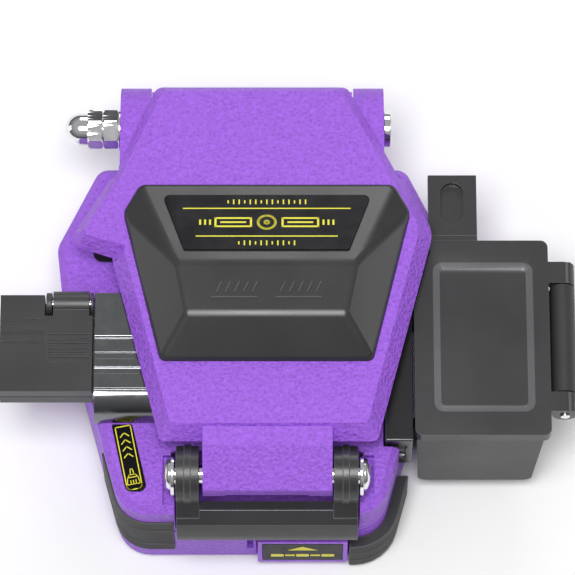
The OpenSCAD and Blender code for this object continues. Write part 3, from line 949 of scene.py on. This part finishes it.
@dataclass
class Case(SubAssembly):
    """Cast case, its base plate, bumpers, feet and the cleaning label."""

    body: str = "base"
    border: float = 0.22 * MM
    pocket_low: tuple[float, float] = (-32.6 * MM, 9.4 * MM)
    pocket_high: tuple[float, float] = (-24.1 * MM, 17.9 * MM)
    pocket_floor: float = 26.4 * MM
    pocket_corner: float = 1.9 * MM
    label_corner: float = 0.9 * MM

    def build(self) -> None:
        """Builds the case and what is fixed outside it."""
        self.shells(
            ("upper_case", PURPLE, Rounding(0.7 * MM, 4)),
            ("lower_case", PURPLE, Rounding(0.45 * MM)),
            ("left_bumper", RUBBER, BROAD),
            ("right_bumper", RUBBER, FULL),
            ("bottom_plate", STEEL_X, FINE),
            ("rubber_feet", RUBBER, BROAD),
            ("case_screws", CHROME, HAIRLINE))
        self.cleaning_label()
        self.pocket_lining()

    def pocket_lining(self) -> None:
        """Black sheet in the finger pocket in the deck, as painted shade in the pocket."""
        under = self.pocket_floor + 0.02 * MM
        top = self.pocket_floor + 1.1 * MM
        shade_sheet = block((*self.pocket_low, under), (*self.pocket_high, top))
        with editing(shade_sheet) as mesh:
            bpy.ops.mesh.select_mode(type="EDGE")
            choose(shade_sheet, mesh.edges, lambda edge: abs(edge.verts[0].co.z - edge.verts[1].co.z) > 0.5 * MM)
            bpy.ops.mesh.bevel(offset=self.pocket_corner, segments=8)
            bpy.ops.mesh.select_mode(type="FACE")
            select_all(False)
            choose(shade_sheet, mesh.faces, lambda face: face.normal.z > 0.9)
            bpy.ops.mesh.inset(thickness=0.35 * MM)
            bpy.ops.mesh.extrude_region_move(TRANSFORM_OT_translate={"value": (0, 0, -0.8 * MM)})
        shade_sheet.name = "pocket_lining"
        soften(shade_sheet, Rounding(0.08 * MM, 2))
        # A gloss black sheet stands in for the shade inside the pocket.
        self.add(shade_sheet, GLOSS_BLACK)

    def cleaning_label(self) -> None:
        """Label film on the deck, with a yellow border and a brush."""
        film = self.rounded("cleaning_label", FILM, Rounding(0.05 * MM, 1))
        low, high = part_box("cleaning_label")
        corners = [v.co for v in film.data.vertices if v.co.z > high.z - 0.02 * MM]
        back = sorted((c.x for c in corners if c.y > high.y - 0.5 * MM))
        front = sorted((c.x for c in corners if c.y < low.y + 0.3 * MM))
        lean = math.atan2((front[0] + front[-1] - back[0] - back[-1]) / 2, high.y - low.y)
        middle = Vector(((back[0] + back[-1] + front[0] + front[-1]) / 4, (low.y + high.y) / 2, high.z))
        half_w = (back[-1] - back[0]) / 2 * math.cos(lean) - 0.45 * MM
        half_l = (high.y - low.y) / 2 / math.cos(lean) - 0.5 * MM
        radius = self.label_corner
        rim = [Vector((-half_w, half_l)), Vector((-half_w, -half_l + radius))]
        rim += arc_points((-half_w + radius, -half_l + radius), radius, 180, 270, 5)
        rim += arc_points((half_w - radius, -half_l + radius), radius, 270, 360, 5)
        rim += [Vector((half_w, half_l))]
        ink = strokes(rim, self.border, closed=True)
        ink += self.brush(Vector((0.0, -half_l + 1.1 * MM)), 0.85 * half_w)
        ink += self.chevrons(0.55 * half_w, half_l - 2.2 * MM)
        graphic = join(ink, "cleaning_mark")
        lay_on(graphic, middle, turn=lean)
        self.add(graphic, YELLOW_INK)

    def brush(self, foot: Vector, half_w: float) -> list[Piece]:
        """A small brush: bristles, ferrule and handle.

        Args:
            foot: Middle of the bristles' ends.
            half_w: Half the brush's width.

        Returns:
            The strokes.
        """
        bristles = [[(share, 0.0), (share, 0.8)] for share in (-0.4, 0.0, 0.4)]
        head = [(-1.0, 0.0), (1.0, 0.0), (0.8, 1.5), (-0.8, 1.5), (-1.0, 0.0)]
        ferrule = [(-0.8, 1.5), (-0.45, 2.05), (0.45, 2.05), (0.8, 1.5)]
        handle = [(-0.3, 2.05), (-0.16, 3.3), (0.16, 3.3), (0.3, 2.05)]
        made: list[Piece] = []
        for line in (head, *bristles, ferrule, handle):
            made += strokes([foot + Vector((half_w * share, rise * MM)) for share, rise in line],
                            0.8 * self.border)
        return made

    def chevrons(self, reach: float, top: float) -> list[Piece]:
        """Four chevrons that point along the label.

        Args:
            reach: Half the width of a chevron.
            top: How far along the label the first one starts.

        Returns:
            The strokes.
        """
        made: list[Piece] = []
        for step in range(4):
            low = top - 1.5 * step * MM
            made += strokes([(-reach, low), (0.0, low + 0.8 * MM), (reach, low)], self.border)
        return made


@dataclass
class Hinge(SubAssembly):
    """Bolt through the lid's hinge, with its washer and nuts."""

    body: str = "base"
    chamfer: float = 0.35 * MM
    nut_length: float = 3.1 * MM
    flat_share: float = 0.89
    dome_share: float = 0.84

    def build(self) -> None:
        """Builds the turned and chamfered hardware."""
        self.shells(("hinge_bolt", CHROME, FULL), ("hinge_washer", CHROME, HAIRLINE))
        self.nut("hinge_nut", dome=False)
        self.nut("acorn_nut", dome=True)

    def nut(self, node: str, dome: bool) -> None:
        """A hexagon nut with turned chamfers, and a dome if it closes the bolt's end.

        Args:
            node: The CAD node that it stands for.
            dome: Whether the nut ends in a dome at its left.
        """
        low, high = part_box(node)
        middle = (low + high) / 2
        right = high.x
        left = right - self.nut_length if dome else low.x
        across, up = self.corner(node, right, middle)
        radius = math.hypot(across, up)
        nut = rod((left, middle.y, middle.z), Axis.X, right - left, radius, sides=6)
        first = nut.data.vertices[0].co
        turn = math.atan2(up, across) - math.atan2(first.z - middle.z, first.y - middle.y)
        with editing(nut):
            select_all()
            bpy.ops.transform.rotate(value=-turn, orient_axis="X", center_override=middle)
        flat = radius * self.flat_share
        form = [(left, 0.0), (left, flat), (left + self.chamfer, radius), (right - self.chamfer, radius),
                (right, flat), (right, 0.0)]
        carve(nut, lathe(form, middle.y, middle.z), "INTERSECT")
        soften(nut, Rounding(0.08 * MM, angle=52.0))
        if dome:
            nut = join([nut, self.dome(low.x, left, radius * self.dome_share, middle)], f"{node}_turned")
        nut.name = f"{node}_turned"
        self.add(nut, CHROME, node)

    def dome(self, tip: float, collar: float, radius: float, middle: Vector) -> Piece:
        """The acorn nut's round end.

        Args:
            tip: X of its tip.
            collar: X where it meets the hexagon.
            radius: Its radius.
            middle: A point on its axis.

        Returns:
            The dome.
        """
        steps = 14
        base = collar + 0.2 * MM
        profile = [(base, 0.0), (base, radius), (tip + radius, radius)]
        for step in range(1, steps):
            angle = math.pi / 2 * step / steps
            profile.append((tip + radius * (1 - math.sin(angle)), radius * math.cos(angle)))
        profile.append((tip, 0.0))
        piece = lathe(profile, middle.y, middle.z)
        smooth(piece)
        return piece

    def corner(self, node: str, end: float, middle: Vector) -> tuple[float, float]:
        """Finds one of a CAD hexagon's corners.

        Args:
            node: The CAD node.
            end: X of the face that it is read at.
            middle: A point on the hexagon's axis.

        Returns:
            How far the corner lies from the axis, along Y and Z.
        """
        face = (v.co for v in frame["nodes"][node].data.vertices if v.co.x > end - 0.01 * MM)
        tip = max(face, key=lambda co: math.hypot(co.y - middle.y, co.z - middle.z))
        return tip.y - middle.y, tip.z - middle.z


@dataclass
class AnvilLid(SubAssembly):
    """Hinged lid with its black cover, label, anvil and upper fibre clamp."""

    body: str = "lid"
    film: float = 0.3 * MM
    label_length: float = 14.6 * MM
    rim: tuple[tuple[float, float], ...] = ((26.0, 21.6), (29.4, 15.3), (21.5, -17.2))  # mm, right half
    ridge: tuple[tuple[float, float], ...] = ((18.3, 1.7), (16.1, -9.25))  # mm, right half
    ridge_drop: float = 0.55 * MM
    side_height: float = 0.6 * MM
    wall: float = 1.2 * MM
    cover_edge: float = 0.95 * MM
    hairline: float = 0.22 * MM
    spring_wire: float = 0.25 * MM

    def build(self) -> None:
        """Builds the lid and what it carries."""
        self.rounded("lid_plate", PURPLE, Rounding(0.8 * MM, 4, angle=24.0, shortest=0.1 * MM))
        self.cover()
        self.badge_label()
        self.cover_relief()
        self.shells(
            ("anvil_holder", STEEL_Y, HAIRLINE),
            ("anvil", CERAMIC, SLIGHT),
            ("anvil_screw", CHROME, HAIRLINE))
        self.bail_screws()
        self.shells(
            ("bail_washers", CHROME, HAIRLINE),
            ("clamp_block", ALUMINIUM, BROAD, "upper_clamp"),
            ("upper_pads", RUBBER, SLIGHT, "upper_clamp"))
        self.clamp_springs()

    def cover(self) -> None:
        """Hollow black cover with a ridge across it and broadly rounded edges."""
        low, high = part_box("badge_cover")
        shell = hull(self.cover_points(low, high, 0.0))
        modify(shell, "BEVEL", width=self.cover_edge, segments=6, limit_method="ANGLE",
               angle_limit=math.radians(4))
        carve(shell, hull(self.cover_points(low, high, self.wall)))
        carve(shell, block((low.x - MM, low.y - MM, low.z - 9 * MM), (high.x + MM, high.y + MM, low.z)))
        smooth(shell)
        shell.name = "badge_shell"
        self.add(shell, COVER_BLACK, "badge_cover")

    def cover_points(self, low: Vector, high: Vector, wall: float) -> list[Vector]:
        """Corners of the cover's form, which reaches below its foot so that it can be cut level there.

        Args:
            low: Low corner of the cover's box.
            high: High corner of the cover's box.
            wall: How far the form is drawn in from the outside.

        Returns:
            The corners of its foot, its rim and its ridge.
        """
        middle = (low.x + high.x) / 2
        foot = low.z - 6.0 * MM
        (back_x, back_y), (front_x, front_y) = self.ridge
        front_top = high.z - self.ridge_drop - wall
        made: list[Vector] = []
        for side in (-1, 1):
            for x, y in self.rim:
                reach = middle + side * (x * MM - wall)
                for z in (foot, low.z + self.side_height - wall / 2):
                    made.append(Vector((reach, y * MM - math.copysign(wall, y), z)))
            made.append(Vector((middle + side * (back_x * MM - wall), back_y * MM, high.z - wall)))
            made.append(Vector((middle + side * (front_x * MM - wall), front_y * MM + wall, front_top)))
        return made

    def bail_screws(self) -> None:
        """Pan-head screws with crossed slots, either side of the bail."""
        low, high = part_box("bail_screws")
        centre = (low + high) / 2
        head_r = (high.z - low.z) / 2
        for side, outer in ((-1, low.x), (1, high.x)):
            face = outer - side * 1.4 * MM
            end = outer - side * 11.4 * MM
            profile = [(outer, 0.0), (outer, head_r * 0.42), (outer - side * 0.22 * MM, head_r * 0.74),
                       (outer - side * 0.6 * MM, head_r * 0.93), (outer - side * 1.1 * MM, head_r),
                       (face, head_r * 0.98), (face, 2.0 * MM), (end, 2.0 * MM), (end, 0.0)]
            screw = lathe(profile, centre.y, centre.z)
            reach, slot = head_r * 0.55, 0.42 * MM
            ends = sorted((outer + side * MM, outer - side * 0.9 * MM))
            for half_y, half_z in ((reach, slot), (slot, reach)):
                carve(screw, block((ends[0], centre.y - half_y, centre.z - half_z),
                                   (ends[1], centre.y + half_y, centre.z + half_z)))
            screw.name = "bail_screw_left" if side < 0 else "bail_screw_right"
            soften(screw, Rounding(0.06 * MM, 2, angle=32.0))
            self.add(screw, CHROME, "bail_screws")

    def badge_label(self) -> None:
        """Label film on the cover's ramp, with rules and a fibre end in yellow."""
        self.rounded("badge_label", FILM, Rounding(0.08 * MM, 2))
        low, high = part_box("badge_label")
        tilt = -math.asin((high.z - low.z - self.film) / self.label_length)
        foot = Vector(((low.x + high.x) / 2, low.y, high.z))
        top_rule, foot_rule = 11.0 * MM, 3.6 * MM
        ink = [stroke((-reach, y), (reach, y), 0.28 * MM)
               for reach, y in ((16.9 * MM, top_rule), (14.2 * MM, foot_rule))]
        ink += self.fibre_emblem((top_rule + foot_rule) / 2)
        ink += self.tally(12.75 * MM, 15)
        ink += self.tally(1.8 * MM, 11)
        graphic = join(ink, "badge_mark")
        lay_on(graphic, foot, tilt=tilt)
        self.add(graphic, YELLOW_INK)

    def fibre_emblem(self, y: float) -> list[Piece]:
        """A round blade between the two halves of a cut fibre.

        Args:
            y: Height of the emblem's middle on the label.

        Returns:
            The strokes.
        """
        made: list[Piece] = []
        for radius, width, count in ((1.75 * MM, 0.5 * MM, 28), (0.4 * MM, 0.4 * MM, 10)):
            made += strokes(arc_points((0.0, y), radius, 0, 360, count)[:-1], width, closed=True)
        line = 0.42 * MM
        half = 1.1 * MM
        for side in (-1, 1):
            inner, outer = side * 3.2 * MM, side * 10.4 * MM
            made += strokes([(inner, y - half), (outer, y - half), (outer, y + half), (inner, y + half)],
                            line, closed=True)
            made.append(stroke((inner + side * 1.2 * MM, y), (outer - side * 1.2 * MM, y), line))
            for step in range(3):
                x = outer + side * (1.1 + 1.0 * step) * MM
                made.append(stroke((x, y - 0.5 * MM), (x, y + 0.5 * MM), 0.4 * MM))
        return made

    def tally(self, y: float, count: int) -> list[Piece]:
        """A row of short bars, one long and short in every three.

        Args:
            y: Height of the row on the label.
            count: Number of bars.

        Returns:
            The strokes.
        """
        pitch = 1.125 * MM
        made: list[Piece] = []
        for index in range(count):
            x = (index - (count - 1) / 2) * pitch
            reach = (0.495 if index % 3 else 0.27) * MM
            made.append(stroke((x, y - reach), (x, y + reach), 0.28 * MM))
        return made

    def cover_relief(self) -> None:
        """Raised hairlines on the cover's lower facet, coloured lighter grey as painted highlight."""
        low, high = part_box("badge_cover")
        middle = (low.x + high.x) / 2
        y = high.y - 27.5 * MM
        rise = 0.3 * MM
        bars: list[Piece] = []
        for side in (-1, 1):
            start, end = middle + side * 2.0 * MM, middle + side * 11.0 * MM
            bars.append(stroke((start, y), (end, y), self.hairline, rise))
            for step in range(5):
                x = start + side * (0.8 + 1.8 * step) * MM
                bars.append(stroke((x, y + 1.2 * MM), (x + 0.9 * MM, y + 3.2 * MM), self.hairline, rise))
        relief = join(bars, "cover_relief")
        lay_on(relief, Vector((0, 0, high.z - 0.35 * MM)))
        self.add(relief, RELIEF_HIGHLIGHT_GREY)

    def clamp_springs(self) -> None:
        """Two wire springs between the cover and the clamp block."""
        low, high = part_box("clamp_springs")
        y = (low.y + high.y) / 2
        wire = self.spring_wire
        radius = (high.y - low.y) / 2 - wire
        coils = [coil(Vector((x, y, low.z)), Axis.Z, radius, wire, 3, high.z - low.z)
                 for x in (low.x + radius + wire, high.x - radius - wire)]
        springs = join(coils, "clamp_spring_coils")
        self.add(springs, STEEL_X, "clamp_springs")
        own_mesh(springs)


@dataclass
class Bail(SubAssembly):
    """Latch bail in front of the lid."""

    body: str = "bail"

    def build(self) -> None:
        """Builds the bail."""
        self.rounded("bail_frame", BAIL_PAINT, Rounding(0.35 * MM))


@dataclass
class Carriage(SubAssembly):
    """Push carriage with its rail block, blade and return spring."""

    body: str = "carriage"
    spring_wire: float = 0.25 * MM
    positions: int = 16
    digit_size: float = 1.2 * MM

    def build(self) -> None:
        """Builds the carriage and the blade."""
        self.rounded("push_cap", SMOOTH_PURPLE, Rounding(0.5 * MM, 4))
        self.push_label()
        self.shells(
            ("slider_plate", ALUMINIUM, PLAIN),
            ("rail_block", STEEL_Y, PLAIN),
            ("blade_mount", ALUMINIUM, BROAD),
            ("mount_screws", CHROME, FINE),
            ("blade_screw", CHROME, FINE),
            ("blade_wheel", CARBIDE, Rounding(0.03 * MM, 1, angle=40.0), "blade"))
        self.finish_cad(DIAL_WHITE, "blade_dial")
        self.dial_numbers()
        self.return_spring()

    def push_label(self) -> None:
        """Label on the cap, with an arrow head over a row of bars."""
        self.rounded("push_label", FILM, Rounding(0.12 * MM, 2))
        low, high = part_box("push_label")
        middle = Vector(((low.x + high.x) / 2, low.y - 0.005 * MM, (low.z + high.z) / 2))
        half_w, foot, tip = 3.1 * MM, 1.3 * MM, 3.5 * MM
        bar_y, bar_half, pitch = -1.9 * MM, 0.55 * MM, 2.6 * MM
        ink = [plate([(-half_w, foot), (half_w, foot), (0.0, tip)], INK)]
        for index, width in enumerate((1.5, 0.9, 1.5, 0.9, 1.5)):
            x = (index - 2) * pitch
            ink.append(stroke((x - bar_half, bar_y), (x + bar_half, bar_y), width * MM))
        graphic = join(ink, "push_mark")
        lay_on(graphic, middle, tilt=math.pi / 2)
        self.add(graphic, YELLOW_INK)

    def dial_numbers(self) -> None:
        """Positions 1 to 16 round the blade's dial."""
        low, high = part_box("blade_dial")
        hub = (low + high) / 2
        reach = (high.z - low.z) / 2 * 0.78
        facing = Matrix.Rotation(-math.pi / 2, 4, "Z") @ Matrix.Rotation(math.pi / 2, 4, "X")
        digits: list[Piece] = []
        for number in range(1, self.positions + 1):
            bpy.ops.object.text_add()
            digit = bpy.context.object
            digit.data.body = str(number)
            digit.data.size = self.digit_size
            digit.data.align_x = "CENTER"
            digit.data.align_y = "CENTER"
            digit.data.extrude = 0.01 * MM
            bpy.ops.object.convert(target="MESH")
            place = Matrix.Translation((low.x - 0.005 * MM, hub.y, hub.z))
            spin = Matrix.Rotation(2 * math.pi * number / self.positions, 4, "X")
            digit.matrix_world = place @ spin @ Matrix.Translation((0, 0, reach)) @ facing
            settle(digit)
            digits.append(digit)
        self.add(join(digits, "dial_numbers"), DIAL_INK, body="blade")

    def return_spring(self) -> None:
        """Coil that pushes the carriage back to the front."""
        low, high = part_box("return_spring")
        start = Vector(((low.x + high.x) / 2, low.y, (low.z + high.z) / 2))
        wire = self.spring_wire
        spring = coil(start, Axis.Y, (high.x - low.x) / 2 - wire, wire, 8, high.y - low.y)
        spring.name = "return_spring_coil"
        self.add(spring, STEEL_X, "return_spring", body="base")
        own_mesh(spring)


@dataclass
class FibreBed(SubAssembly):
    """Fixed beds, pads and the rail that the carriage runs on."""

    body: str = "base"

    def build(self) -> None:
        """Builds the beds and the rail."""
        bed = Rounding(0.22 * MM)
        self.shells(
            ("left_platform", BED_STEEL, bed),
            ("right_platform", BED_STEEL, bed),
            ("platform_screws", CHROME, FINE),
            ("pad_blocks", ALUMINIUM, BROAD),
            ("lower_pads", RUBBER, SLIGHT),
            ("linear_rail", STEEL_Y, FULL),
            ("rail_screws", CHROME, FINE))


@dataclass
class SideClamp(SubAssembly):
    """Fibre clamp on the left, on its own bracket."""

    body: str = "base"

    def build(self) -> None:
        """Builds the clamp's two halves."""
        self.shells(
            ("clamp_bracket", STEEL_X, BROAD),
            ("clamp_body", BLACK, PLAIN),
            ("clamp_lower_pad", RUBBER, PLAIN),
            ("clamp_magnet", CHROME, SLIGHT),
            ("clamp_pin", CHROME, HAIRLINE),
            ("clamp_lid", BLACK_LID, Rounding(0.16 * MM, 2, whole=True), "side_clamp"),
            ("clamp_upper_pad", RUBBER, PLAIN, "side_clamp"))


@dataclass
class ScrapBin(SubAssembly):
    """Scrap bin with its hinged lid, and the rollers that feed it."""

    body: str = "base"
    steepest: float = 25.0
    flattest: float = 12.0

    def build(self) -> None:
        """Builds the bin, its rollers and their housing."""
        self.rounded("bin_tray", BLACK, Rounding(0.5 * MM))
        edges = Rounding(0.45 * MM, 4, merge=0.08 * MM, shortest=0.2 * MM)
        lid = self.rounded("bin_lid", BLACK_LID, edges, "bin_cover")
        # The sloping walls of the lid's recess are coloured lighter: painted highlight.
        wear_slopes(lid, self.steepest, self.flattest)
        self.shells(
            ("bin_pin", CHROME, PLAIN),
            ("bin_screws", CHROME, PLAIN),
            ("roller_housing", GLOSS_BLACK, Rounding(0.6 * MM, 4)),
            ("drive_roller", STEEL_Y, PLAIN, "lower_roller"),
            ("pinch_roller", RUBBER, PLAIN, "upper_roller"))


# ---------------------------------------------------------------- studio


@dataclass
class Studio:
    """Pale floor, soft lights and the camera."""

    elevation: float = 68.0
    distance: float = 0.9
    lens: float = 275.0
    target: tuple[float, float, float] = (7.3 * MM, 2.9 * MM, 30.0 * MM)
    lights: tuple[tuple[str, tuple[float, float, float], float, float], ...] = (
        ("softbox", (-0.04, -0.23, 0.88), 0.32, 5.8),
        ("left", (-1.05, 0.1, 0.2), 0.45, 1.0),
        ("right", (1.05, 0.15, 0.25), 0.4, 1.0),
        ("back", (0.1, 0.85, 0.55), 0.4, 2.0),
    )
    sky: tuple[tuple[float, Colour], ...] = ((0.02, (0.12, 0.12, 0.125)), (0.75, (1.0, 1.0, 1.0)))
    sky_strength: float = 0.42

    def build(self) -> None:
        """Sets up everything that isn't the object."""
        self.floor()
        self.world()
        for name, place, size, power in self.lights:
            self.light(name, place, size, power)
        self.camera()

    def floor(self) -> None:
        """A wide pale floor at the rest plane."""
        bpy.ops.mesh.primitive_plane_add(size=6.0, location=(0, 0, -0.0002))
        floor = bpy.context.object
        floor.name = "floor"
        tree = ShaderTree("studio_floor")
        tone = tree.noise(12.0, detail=2.0)
        tree.drive("Base Color", tree.ramp(tone, [(0.3, (0.93, 0.93, 0.93)), (0.7, (0.95, 0.95, 0.95))]))
        tree.fixed(Roughness=0.7)
        floor.data.materials.append(tree.material)

    def world(self) -> None:
        """White light from above that falls off towards the horizon."""
        world = bpy.data.worlds.new("studio")
        world.use_nodes = True
        nodes, links = world.node_tree.nodes, world.node_tree.links
        place = nodes.new("ShaderNodeTexCoord")
        split = nodes.new("ShaderNodeSeparateXYZ")
        ramp = nodes.new("ShaderNodeValToRGB")
        for stop, (height, colour) in zip(ramp.color_ramp.elements, self.sky):
            stop.position = height
            stop.color = (*colour, 1.0)
        background = nodes["Background"]
        background.inputs["Strength"].default_value = self.sky_strength
        links.new(place.outputs["Generated"], split.inputs["Vector"])
        links.new(split.outputs["Z"], ramp.inputs["Fac"])
        links.new(ramp.outputs["Color"], background.inputs["Color"])
        bpy.context.scene.world = world
        bpy.context.scene.view_settings.view_transform = "Standard"

    def light(self, name: str, place: Point, size: float, power: float) -> None:
        """A square soft light aimed at the object.

        Args:
            name: The light's name.
            place: Where it hangs.
            size: Its side.
            power: Its power in watts.
        """
        lamp = bpy.data.lights.new(name, "AREA")
        lamp.size = size
        lamp.energy = power
        holder = bpy.data.objects.new(name, lamp)
        bpy.context.scene.collection.objects.link(holder)
        holder.location = place
        aim = Vector(self.target) - Vector(place)
        holder.rotation_euler = aim.to_track_quat("-Z", "Y").to_euler()

    def camera(self) -> None:
        """A long lens from the front, high above the object."""
        lens = bpy.data.cameras.new("camera")
        lens.lens = self.lens
        lens.sensor_width = 36.0
        lens.clip_start = 0.05
        holder = bpy.data.objects.new("camera", lens)
        bpy.context.scene.collection.objects.link(holder)
        rise = math.radians(self.elevation)
        back = Vector((0, -math.cos(rise), math.sin(rise)))
        holder.location = Vector(self.target) + back * self.distance
        holder.rotation_euler = (-back).to_track_quat("-Z", "Y").to_euler()
        bpy.context.scene.camera = holder


def main() -> None:
    """Builds the studio and each sub-assembly."""
    logging.basicConfig(level=logging.INFO, format="%(message)s")
    Studio().build()
    for assembly in (Case(), Hinge(), FibreBed(), Carriage(), SideClamp(), ScrapBin(), AnvilLid(), Bail()):
        LOG.info("-- %s", type(assembly).__name__)
        assembly.build()


if __name__ == "__main__":
    main()
